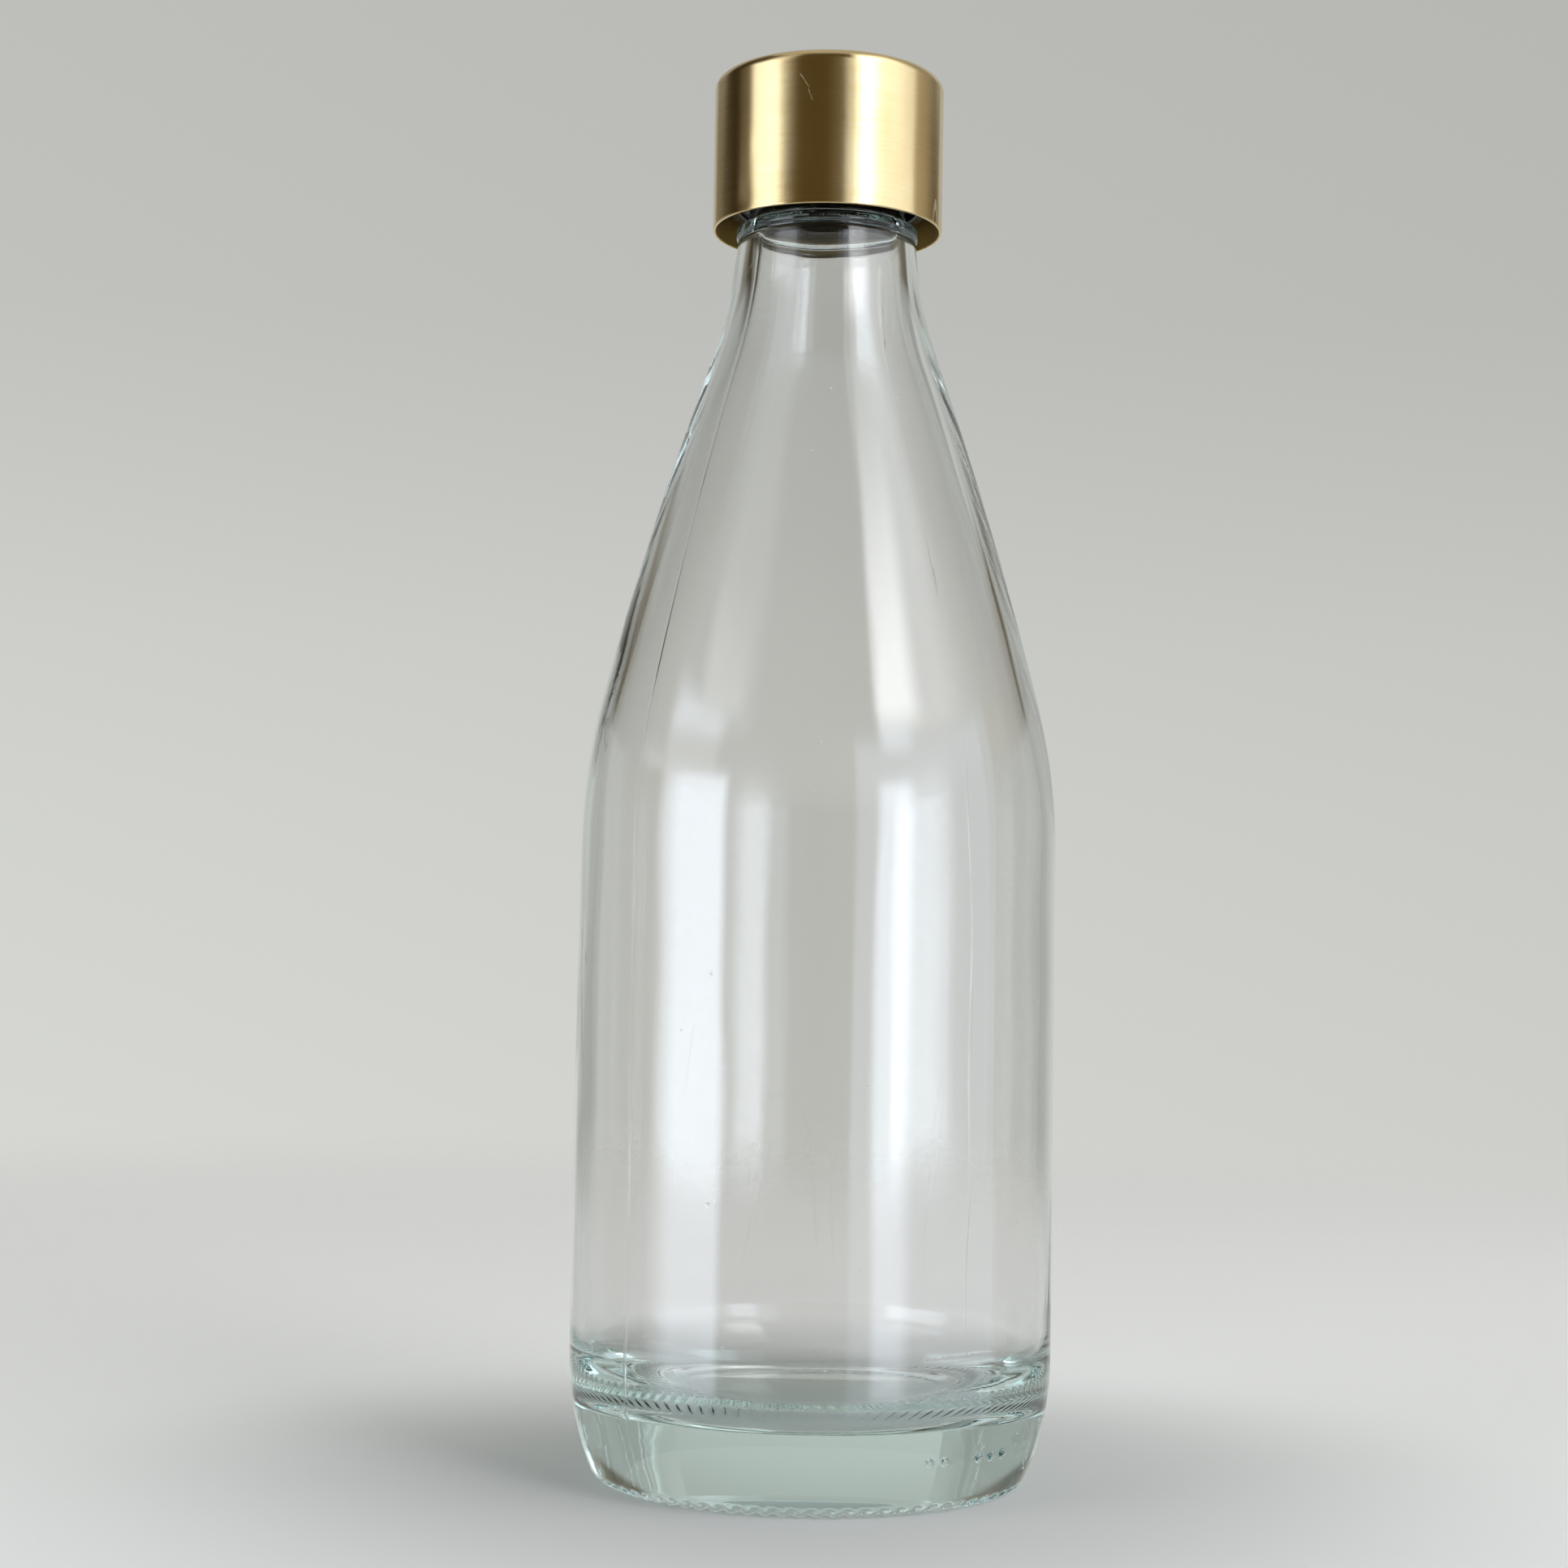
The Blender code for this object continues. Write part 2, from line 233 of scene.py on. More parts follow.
# Node helpers

def link(tree, value, socket):
    # A socket is linked, and anything else is the value that stays on the input
    if isinstance(value, bpy.types.NodeSocket):
        tree.links.new(value, socket)
    else:
        socket.default_value = value


def node(tree, kind, inputs=None, **settings):
    made = tree.nodes.new(kind)
    for key, value in settings.items():
        setattr(made, key, value)
    for key, value in (inputs or {}).items():
        link(tree, value, made.inputs[key])
    return made


def calc(tree, operation, *values, clamp=False):
    inputs = dict(enumerate(values))
    return node(tree, "ShaderNodeMath", inputs, operation=operation, use_clamp=clamp).outputs[0]


def times(tree, one, two):
    return calc(tree, "MULTIPLY", one, two)


def plus(tree, one, two):
    return calc(tree, "ADD", one, two)


def minus(tree, one, two):
    return calc(tree, "SUBTRACT", one, two)


def largest(tree, first, *others):
    for other in others:
        first = calc(tree, "MAXIMUM", first, other)
    return first


def remap(tree, value, low, high, newLow=0.0, newHigh=1.0, kind="SMOOTHSTEP"):
    ends = {"From Min": low, "From Max": high, "To Min": newLow, "To Max": newHigh}
    made = node(tree, "ShaderNodeMapRange", {"Value": value, **ends}, interpolation_type=kind)
    return made.outputs["Result"]


def blendColour(tree, share, one, two):
    made = node(tree, "ShaderNodeMix", data_type="RGBA")
    for key, value in (("Factor_Float", share), ("A_Color", one), ("B_Color", two)):
        link(tree, value, next(s for s in made.inputs if s.identifier == key))
    return next(s for s in made.outputs if s.identifier == "Result_Color")


def noise(tree, vector, scale, detail=2.0, roughness=0.5):
    inputs = {"Vector": vector, "Scale": scale, "Detail": detail, "Roughness": roughness}
    return node(tree, "ShaderNodeTexNoise", inputs).outputs["Fac"]


def stretched(tree, vector, scale):
    return node(tree, "ShaderNodeMapping", {"Vector": vector, "Scale": scale}).outputs["Vector"]


def newGroup(name, takes, gives):
    # Takes a place and then plain numbers, and gives numbers
    tree = bpy.data.node_groups.new(name, "ShaderNodeTree")
    tree.interface.new_socket(name="Vector", in_out="INPUT", socket_type="NodeSocketVector")
    for label in takes:
        tree.interface.new_socket(name=label, in_out="INPUT", socket_type="NodeSocketFloat")
    for label in gives:
        tree.interface.new_socket(name=label, in_out="OUTPUT", socket_type="NodeSocketFloat")
    inside = tree.nodes.new("NodeGroupInput").outputs, tree.nodes.new("NodeGroupOutput").inputs
    return tree, *inside


def useGroup(tree, group, place, amounts):
    made = tree.nodes.new("ShaderNodeGroup")
    made.node_tree = group
    for value, socket in zip((place, *amounts), made.inputs):
        link(tree, value, socket)
    return made.outputs


def newMaterial(name):
    made = bpy.data.materials.new(name)
    made.use_nodes = True
    tree = made.node_tree
    place = node(tree, "ShaderNodeTexCoord").outputs["Object"]
    return made, tree, tree.nodes["Principled BSDF"], place


def bumpOn(tree, shader, height, strength, distance):
    # distance in millimetres
    inputs = {"Height": height, "Strength": strength, "Distance": distance * mm}
    bump = node(tree, "ShaderNodeBump", inputs)
    tree.links.new(bump.outputs["Normal"], shader.inputs["Normal"])


def axesOf(tree, vector):
    return node(tree, "ShaderNodeSeparateXYZ", {"Vector": vector}).outputs


def mixShaders(tree, share, one, two):
    mixed = node(tree, "ShaderNodeMixShader", {0: share, 1: one, 2: two})
    tree.links.new(mixed.outputs[0], tree.nodes["Material Output"].inputs["Surface"])


# Effects shared by the finishes

def dustGroup():
    # Specks: one round spot in some of the cells of a scattered grid
    tree, takes, gives = newGroup("fineDust", ["Cells Per Metre", "Share", "Spot"], ["Mask"])
    spacing = {"Vector": takes["Vector"], "Scale": takes["Cells Per Metre"]}
    cell = node(tree, "ShaderNodeTexVoronoi", spacing)
    draw = node(tree, "ShaderNodeSeparateColor", {"Color": cell.outputs["Color"]})
    chosen = calc(tree, "LESS_THAN", draw.outputs["Red"], takes["Share"])
    smallest, coreShare = 0.35, 0.5
    size = times(tree, takes["Spot"], plus(tree, smallest, draw.outputs["Green"]))
    core = times(tree, size, coreShare)
    spot = remap(tree, cell.outputs["Distance"], core, size, 1.0, 0.0)
    tree.links.new(times(tree, chosen, spot), gives["Mask"])
    return tree


def scratchGroup():
    # Hair lines: where stretched noise crosses its middle value, in patches
    tree, takes, gives = newGroup("hairScratches", ["Scale", "Width", "Share"], ["Mask"])
    middle, upwards, patchPace, patchHigh, patchRange = 0.5, 0.12, 2.3, 0.75, 0.3
    lines = []
    for turn, seed in ((0.5, 3.1), (-0.35, 7.7), (1.1, 12.4)):
        lie = node(tree, "ShaderNodeMapping", {
            "Vector": takes["Vector"], "Rotation": (turn, turn * 0.7, 0.4 + turn),
            "Location": (seed, seed, seed), "Scale": (1.0, 1.0, upwards)}).outputs["Vector"]
        field = noise(tree, lie, takes["Scale"], 1.0)
        off = calc(tree, "ABSOLUTE", minus(tree, field, middle))
        line = calc(tree, "LESS_THAN", off, takes["Width"])
        patch = noise(tree, lie, times(tree, takes["Scale"], patchPace), 0.0)
        limit = minus(tree, patchHigh, times(tree, takes["Share"], patchRange))
        shown = calc(tree, "GREATER_THAN", patch, limit)
        lines.append(times(tree, line, shown))
    tree.links.new(largest(tree, *lines), gives["Mask"])
    return tree


def skinGroup():
    # Moulded plastic or foam skin: fine grain over slow flow marks
    tree, takes, gives = newGroup("mouldedSkin", ["Grain", "Flow"], ["Height", "Tone"])
    grainShare, flowShare = 0.6, 0.8
    grain = noise(tree, takes["Vector"], takes["Grain"], 3.0, 0.6)
    flow = noise(tree, takes["Vector"], takes["Flow"], 2.0)
    height = plus(tree, times(tree, grain, grainShare), times(tree, flow, flowShare))
    tree.links.new(height, gives["Height"])
    tree.links.new(flow, gives["Tone"])
    return tree


fineDust, hairScratches, mouldedSkin = dustGroup(), scratchGroup(), skinGroup()


def specksOn(tree, place, look):
    return useGroup(tree, fineDust, place, look["specks"])["Mask"]


def hairsOn(tree, place, look):
    return useGroup(tree, hairScratches, place, look["hairs"])["Mask"]


def mouldedFinish(name, look):
    # Tone and roughness drift with the flow marks, and hair lines and specks wear the colour
    made, tree, shader, place = newMaterial(name)
    skin = useGroup(tree, mouldedSkin, place, look["skin"])
    kinds = (("hairs", hairsOn), ("specks", specksOn))
    masks = [make(tree, place, look) for key, make in kinds if key in look]
    worn = times(tree, largest(tree, *masks), look["wornShare"])
    tone = blendColour(tree, skin["Tone"], look["colour"], look["shade"])
    link(tree, blendColour(tree, worn, tone, look["worn"]), shader.inputs["Base Color"])
    rough = plus(tree, look["roughness"], times(tree, skin["Tone"], look["uneven"]))
    if "hairRoughness" in look:
        rough = plus(tree, rough, times(tree, masks[0], look["hairRoughness"]))
    link(tree, rough, shader.inputs["Roughness"])
    return made, tree, shader, place, skin["Height"]


# The glass bottle

glassForm = {
    "columns": 176,
    # Degrees from +X where the two mould halves met, and the raised line's height and width
    "seams": (-136.4, 43.6), "seamHeight": 0.07, "seamWidth": 0.16,
    "seamFrom": (8, 12), "seamTo": (154.5, 152), "seamUneven": 0.35, "seamPace": 0.21,
    "seamBand": 1.1, "dotBand": 1.2, "clearOfBands": 0.35,
    "footRadius": 26.4, "footRound": 2.5, "heel": 8.4, "heelRound": 36.0,
    "bodyRadius": 29.8, "shoulder": 86.8, "shoulderRound": 76.0,
    "bend": (22.2, 116.8), "bendRound": 515.0,
    "neckRoot": (12.63, 144.9), "neckRound": 46.0, "neckTop": (11.26, 155.2),
    "beadProud": 0.3, "beadTop": 156.9, "beadRound": 0.3,
    "finishRadius": 9.9, "lip": 170.7, "lipRound": 0.6,
    "pushUpInset": 4.7, "pushUpEdge": (1.6, 1.8, 0.8), "pushUpDome": 1.6,
    "floor": 9.4, "floorDome": 1.2, "floorRound": 9.0,
    "bodyWall": 1.8, "shoulderWall": 2.1, "neckRootWall": 3.0, "neckTopWall": 2.4,
    "boreRadius": 7.2, "boreDepth": 12.8, "boreRound": 0.7,
    "thread": {"pitch": 3.175, "low": 164.3, "turns": 1.5, "start": 0.1, "fade": 0.07,
               "depth": 1.0, "foot": 1.0, "crest": 0.35},
    # Slanting nubs on the bearing ring
    "nubs": 78, "nubPoints": 8, "nubDepth": 0.34, "nubSlant": 520.0, "nubSharpness": 1.5,
    "nubMiddle": 24.5, "nubTop": 1.5, "nubInner": 0.5, "nubFadeOut": 0.7, "nubFadeIn": 0.6,
    # Plain mould dots on the heel: degrees from +X and height
    "dots": ((-61.0, 6.4), (-56.6, 6.4), (-46.0, 6.4), (-41.6, 6.4), (-37.2, 6.4)),
    "dotRadius": 0.55, "dotHeight": 0.32,
    "innerSeed": 11, "innerCalm": ((10.5, 18), (169, 160)),
    "innerWaves": ((3, 4, 0.070), (5, 7, 0.045), (8, 11, 0.020), (11, 5, 0.016), (17, 14, 0.006),
                   (23, 9, 0.005), (5, 38, 0.016), (9, 31, 0.010), (14, 47, 0.004)),
    "outerSeed": 23, "outerCalm": ((2.5, 12), (152, 140)),
    "outerWaves": ((4, 5, 0.014), (9, 12, 0.005)),
    # (height, spacing) of the rings
    "insideRings": ((9, 1.3), (18, 1.3), (24, 2.6), (74, 2.6), (90, 2.0), (140, 2.0), (150, 1.0),
                    (154.3, 0.8), (154.8, 0.16), (158.3, 0.16), (158.8, 0.8), (169, 1.0),
                    (170.3, 0.25), (171, 0.25)),
    "outsideRings": ((0, 0.2), (1.6, 0.25), (2.5, 0.6), (5.0, 0.6), (5.5, 0.2), (7.3, 0.2),
                     (8, 0.9), (16, 2.6), (80, 2.6), (90, 2.0), (140, 2.0), (153, 0.9),
                     (154.8, 0.16), (157.2, 0.16), (157.6, 0.3), (162.6, 0.3), (163, 0.2),
                     (169.8, 0.2), (170.2, 0.12), (171, 0.12)),
    "undersideRings": ((0, 0.3), (0.6, 0.3), (1.6, 0.9), (4, 1.3)),
    # Small bubbles in the wall: degrees from +X, height, distance from the axis, size
    "seeds": ((-87.7, 133.0, 16.7, 0.30), (-58.1, 132.5, 16.8, 0.26), (-94.0, 124.8, 19.3, 0.34),
              (-89.7, 89.1, 28.9, 0.24), (-91.5, 83.3, 29.6, 0.42), (-113.9, 62.1, 29.8, 0.22),
              (-113.9, 35.7, 29.8, 0.36)),
    "ripple": (110.0, (1, 1, 0.4)), "chill": 900.0,
    # The uneven skin of the finish starts near the bead's top
    "chillFrom": -1.5, "chillTo": 0.5, "chillBelow": 0.05, "chillAbove": 0.9, "seedHeight": 3.2,
    "specks": (190.0, 0.25, 0.05), "hairs": (70.0, 0.0016, 0.25), "hairShare": 0.4,
    "markRoughness": 0.35,
    "clear": (0.942, 0.935, 0.928, 1), "marked": (0.88, 0.88, 0.87, 1), "ior": 1.52,
    "bump": (0.35, 0.06),
    # What lamps light through the glass, face on and edge on, and the tint of its depth
    "edgeBlend": 0.35, "shadowFace": (0.88, 0.90, 0.89, 1), "shadowEdge": (0.45, 0.53, 0.52, 1),
    "depthColour": (0.50, 0.86, 0.80, 1), "depthDensity": 9.0,
}


def domeLine(radius, height, rise, steps=200):
    part = np.linspace(0, 1, steps + 1)[1:]
    return np.stack([radius * part, height + rise * (1 - part ** 2)], 1) * mm


def glassLines(g):
    # The inside from the floor's middle up to the lip, the outside down to the foot, and the
    # underside from the foot to the middle
    inner = g["bodyRadius"] - g["bodyWall"]
    floorEdge = inner - g["floorRound"]
    inside = np.concatenate([domeLine(floorEdge, g["floor"], g["floorDome"]), roundedLine([
        (floorEdge, g["floor"], 0),
        (inner, g["floor"], g["floorRound"]),
        (inner, g["shoulder"], g["shoulderRound"]),
        (g["bend"][0] - g["shoulderWall"], g["bend"][1], g["bendRound"]),
        (g["neckRoot"][0] - g["neckRootWall"], g["neckRoot"][1], g["neckRound"]),
        (g["neckTop"][0] - g["neckTopWall"], g["neckTop"][1], g["boreRound"]),
        (g["boreRadius"], g["lip"] - g["boreDepth"], g["boreRound"]),
        (g["boreRadius"], g["lip"], g["lipRound"]),
        (g["finishRadius"] - g["lipRound"], g["lip"], 0)])[1:]])
    bead = g["neckTop"][0] + g["beadProud"]
    footMiddle = g["footRadius"] - g["pushUpInset"] / 2
    outside = roundedLine([
        (g["finishRadius"] - g["lipRound"], g["lip"], 0),
        (g["finishRadius"], g["lip"], g["lipRound"]),
        (g["finishRadius"], g["beadTop"], g["beadRound"]),
        (bead, g["beadTop"] - g["beadRound"], g["beadRound"]),
        (bead, g["neckTop"][1] + g["beadRound"], g["beadRound"]),
        (*g["neckTop"], g["beadRound"]),
        (*g["neckRoot"], g["neckRound"]),
        (*g["bend"], g["bendRound"]),
        (g["bodyRadius"], g["shoulder"], g["shoulderRound"]),
        (g["bodyRadius"], g["heel"], g["heelRound"]),
        (g["footRadius"], 0, g["footRound"]),
        (footMiddle, 0, 0)])
    rise, width, edgeRound = g["pushUpEdge"]
    edge = g["footRadius"] - g["pushUpInset"]
    underside = np.concatenate([roundedLine([
        (footMiddle, 0, 0), (edge, 0, edgeRound), (edge - width, rise, edgeRound),
        (edge - 2 * width, rise, 0)]),
        domeLine(edge - 2 * width, rise, g["pushUpDome"])[::-1][1:]])
    return inside, outside, underside


def glassColumns(g, seamPoints=13, dotPoints=9):
    # Even steps round, with closer ones across the two seams and the row of dots
    even = np.degrees(evenAngles(g["columns"]))
    acrossSeam = np.linspace(-g["seamBand"], g["seamBand"], seamPoints)
    acrossDot = np.linspace(-g["dotBand"], g["dotBand"], dotPoints)
    extra = [np.asarray(s) % 360 + acrossSeam for s in g["seams"]]
    extra += [np.asarray(a) % 360 + acrossDot for a, _ in g["dots"]]
    extra = np.concatenate(extra) % 360
    near = np.min(np.abs((even[:, None] - extra[None, :] + 180) % 360 - 180), 1)
    return np.radians(np.sort(np.concatenate([even[near > g["clearOfBands"]], extra])))


def outerRelief(g, angles, out):
    # What the outside has above its smooth outline
    radius, height = out[:, :1], out[:, 1]
    relief = waves(angles, height, g["outerSeed"], g["outerWaves"])
    relief *= between(height, *g["outerCalm"])[:, None]
    aboveBead = softStep(g["beadTop"] * mm, (g["beadTop"] + 0.3) * mm, height)
    onFinish = aboveBead * (out[:, 0] > (g["finishRadius"] - 0.02) * mm)
    relief += threadRidge(angles, height, g["thread"]) * onFinish[:, None]
    seamBand = between(height, g["seamFrom"], g["seamTo"])
    for seam in np.radians(g["seams"]):
        off = turnFrom(seam, angles)[None, :] * radius
        sway = np.sin(height / mm * g["seamPace"] + seam * 3)
        fade = 1 - g["seamUneven"] + g["seamUneven"] * sway
        line = g["seamHeight"] * mm * np.exp(-(off / (g["seamWidth"] * mm)) ** 2)
        relief += line * (seamBand * fade)[:, None]
    for angle, level in g["dots"]:
        off = turnFrom(np.radians(angle), angles)[None, :] * radius
        reach = np.hypot(off, out[:, 1:] - level * mm) / (g["dotRadius"] * mm)
        relief += g["dotHeight"] * mm * np.sqrt(np.clip(1 - reach ** 2, 0, 1))
    return relief


def nubRelief(g, angles, rows):
    # Slanting valleys cut into the foot, with their crests left at its surface
    walk = np.concatenate([[0], np.cumsum(np.hypot(*np.diff(rows, axis=0).T))])
    lowest = np.argmin(np.abs(rows[:, 1]) + np.abs(rows[:, 0] - g["nubMiddle"] * mm))
    phase = g["nubs"] * angles[None, :] + g["nubSlant"] * (walk - walk[lowest])[:, None]
    valley = (0.5 - 0.5 * np.cos(phase)) ** g["nubSharpness"]
    window = softStep(0, g["nubFadeOut"] * mm, walk)
    window *= softStep(walk[-1], walk[-1] - g["nubFadeIn"] * mm, walk)
    return -g["nubDepth"] * mm * valley * window[:, None]


def glassBottle(g):
    inside, outside, underside = glassLines(g)
    angles = glassColumns(g)
    nubAngles = evenAngles(g["nubs"] * g["nubPoints"])
    inside = spread(inside, g["insideRings"])
    outside = spread(outside, g["outsideRings"])
    underside = spread(underside, g["undersideRings"])
    # The foot and the edge of the push-up carry the nubs, and have columns of their own
    cut = np.argmax(outside[:, 1] < g["nubTop"] * mm)
    upper, foot = outside[1:cut], outside[cut:]
    rows = np.concatenate([foot, underside[1:]])
    pastFoot = np.arange(len(rows)) > len(foot)
    inner = np.argmax(pastFoot & (rows[:, 1] > g["nubInner"] * mm))
    under, nubRows = rows[inner:], rows[:inner]
    innerPush = waves(angles, inside[:, 1], g["innerSeed"], g["innerWaves"])
    innerPush *= between(inside[:, 1], *g["innerCalm"])[:, None]
    wall = np.concatenate([inside, upper])
    push = np.concatenate([innerPush, outerRelief(g, angles, upper)])
    return solidMesh("glass_body", [
        (turnedPoints(wall, angles, push), angles),
        (turnedPoints(nubRows, nubAngles, nubRelief(g, nubAngles, nubRows)), nubAngles),
        (turnedPoints(under[:-1], angles), angles)])


def clearGlass(g):
    made, tree, shader, place = newMaterial("clear_container_glass")
    scale, stretch = g["ripple"]
    ripple = noise(tree, stretched(tree, place, stretch), scale, 1.0)
    chill = noise(tree, place, g["chill"], 1.0)
    # The finish was pressed against a colder mould, so its skin is more uneven
    low, high = ((g["beadTop"] + g[key]) * mm for key in ("chillFrom", "chillTo"))
    level = axesOf(tree, place)["Z"]
    finish = remap(tree, level, low, high, g["chillBelow"], g["chillAbove"])
    height = plus(tree, ripple, times(tree, chill, finish))
    for angle, up, radius, size in g["seeds"]:
        turn = np.radians(angle)
        centre = tuple(mm * np.array([radius * np.cos(turn), radius * np.sin(turn), up]))
        away = node(tree, "ShaderNodeVectorMath", {0: place, 1: centre}, operation="DISTANCE")
        seed = remap(tree, away.outputs["Value"], 0.0, size * mm, g["seedHeight"], 0.0)
        height = plus(tree, height, seed)
    hairs = times(tree, hairsOn(tree, place, g), g["hairShare"])
    marks = largest(tree, specksOn(tree, place, g), hairs)
    link(tree, times(tree, marks, g["markRoughness"]), shader.inputs["Roughness"])
    tint = blendColour(tree, marks, g["clear"], g["marked"])
    link(tree, tint, shader.inputs["Base Color"])
    shader.inputs["Transmission Weight"].default_value = 1.0
    shader.inputs["IOR"].default_value = g["ior"]
    bumpOn(tree, shader, height, *g["bump"])
    # Lamps light what is behind the glass
    facing = node(tree, "ShaderNodeLayerWeight", {"Blend": g["edgeBlend"]}).outputs["Facing"]
    shade = blendColour(tree, facing, g["shadowFace"], g["shadowEdge"])
    clear = node(tree, "ShaderNodeBsdfTransparent", {"Color": shade})
    shadowRay = node(tree, "ShaderNodeLightPath").outputs["Is Shadow Ray"]
    mixShaders(tree, shadowRay, shader.outputs[0], clear.outputs[0])
    body = node(tree, "ShaderNodeVolumeAbsorption", {
        "Color": g["depthColour"], "Density": g["depthDensity"]})
    link(tree, body.outputs[0], tree.nodes["Material Output"].inputs["Volume"])
    return made


bottle = glassBottle(glassForm)
bottle.data.materials.append(clearGlass(glassForm))
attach(bottle, "bottle")
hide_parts("glass_bottle")
print("glass bottle:", len(bottle.data.polygons), "faces")


# The gold shell

shellForm = {
    "columns": 288, "radius": 14.6, "bore": 14.2, "hem": 156.5, "top": 175.95, "thickness": 0.4,
    "topRound": 1.3, "hemRound": 0.12, "hub": 0.5,
    "rings": ((156, 0.06), (156.7, 0.1), (157.5, 0.6), (173.5, 0.6), (174.4, 0.14), (176, 0.14)),
    "disc": (12.9, 8), "wobbleFrom": 1.0, "wobbleTo": 2, "wobbleSeed": 5,
    "wobble": ((2, 12, 0.014), (3, 38, 0.010), (5, 22, 0.008), (7, 90, 0.0035), (11, 60, 0.003)),
    # Shallow dents: degrees from +X, height, reach across and up, depth
    "dents": ((-124.0, 164.6, 1.3, 1.6, 0.030), (-138.0, 158.0, 2.0, 1.8, 0.030),
              (-52.0, 159.0, 1.8, 1.5, 0.015)),
    "gold": (0.80, 0.62, 0.335, 1), "deepGold": (0.75, 0.56, 0.275, 1),
    # The colour for the inside of the shell is painted shade: darker and deeper than the outside
    # gold
    "paleGold": (0.85, 0.70, 0.43, 1), "shadedInnerGold": (0.46, 0.32, 0.10, 1),
    "scratchGold": (0.92, 0.84, 0.66, 1), "speckGold": (0.95, 0.86, 0.62, 1),
    # The brushing: scale, how far it is squeezed up the wall, noise detail and roughness
    "brushing": (90.0, (1, 1, 55), 5.0, 0.75), "drift": 95.0, "driftRange": (0.3, 0.7),
    "paleRange": (0.35, 0.7), "paleShare": 0.35, "scratchShare": 0.5,
    "specks": (230.0, 0.16, 0.045), "hairs": (85.0, 0.0030, 0.30),
    # Two short knocks on the front: from and to, across and up
    "marks": (((-3.6, 172.6), (-2.5, 170.9)), ((-2.6, 170.7), (-2.1, 169.3))), "markWidth": 0.07,
    "roughness": 0.15, "brushRoughness": 0.10, "scratchRoughness": 0.25, "innerRoughness": 0.28,
    "anisotropy": 0.75, "anisotropicTurn": 0.25, "scratchDepth": 0.8, "bump": (0.35, 0.02),
}


def goldShell(s):
    inner = s["top"] - s["thickness"]
    line = roundedLine([
        (s["hub"], s["top"], 0), (s["radius"], s["top"], s["topRound"]),
        (s["radius"], s["hem"], s["hemRound"]), (s["bore"], s["hem"], s["hemRound"]),
        (s["bore"], inner, s["topRound"] - s["thickness"]), (s["hub"], inner, 0)])
    line = thinDisc(spread(line, s["rings"]), *s["disc"])
    angles, height = evenAngles(s["columns"]), line[:, 1]
    side = softStep(0, s["wobbleFrom"] * mm, height - s["hem"] * mm)
    side *= softStep(s["top"] * mm, (s["top"] - s["wobbleTo"]) * mm, height)
    outer = np.arange(len(line)) < np.argmin(height) + 1
    push = waves(angles, height, s["wobbleSeed"], s["wobble"])
    for angle, level, across, upward, depth in s["dents"]:
        off = turnFrom(np.radians(angle), angles) * s["radius"] / across
        rise = (height / mm - level) / upward
        push -= depth * mm * np.exp(-off[None, :] ** 2 - rise[:, None] ** 2)
    push *= (side * outer)[:, None]
    return turnedSolid("gold_shell", line, angles, push)


def nearSegment(tree, across, up, start, end, width, coreShare=0.3):
    # 1 within width of a straight mark between two points of the front, 0 beyond
    (x0, z0), (x1, z1) = start, end
    dx, dz = (x1 - x0) * mm, (z1 - z0) * mm
    offX = minus(tree, across, x0 * mm)
    offZ = minus(tree, up, z0 * mm)
    dot = plus(tree, times(tree, offX, dx), times(tree, offZ, dz))
    along = calc(tree, "DIVIDE", dot, dx * dx + dz * dz, clamp=True)
    restX = minus(tree, offX, times(tree, along, dx))
    restZ = minus(tree, offZ, times(tree, along, dz))
    far = plus(tree, times(tree, restX, restX), times(tree, restZ, restZ))
    return remap(tree, calc(tree, "SQRT", far), width * mm * coreShare, width * mm, 1.0, 0.0)


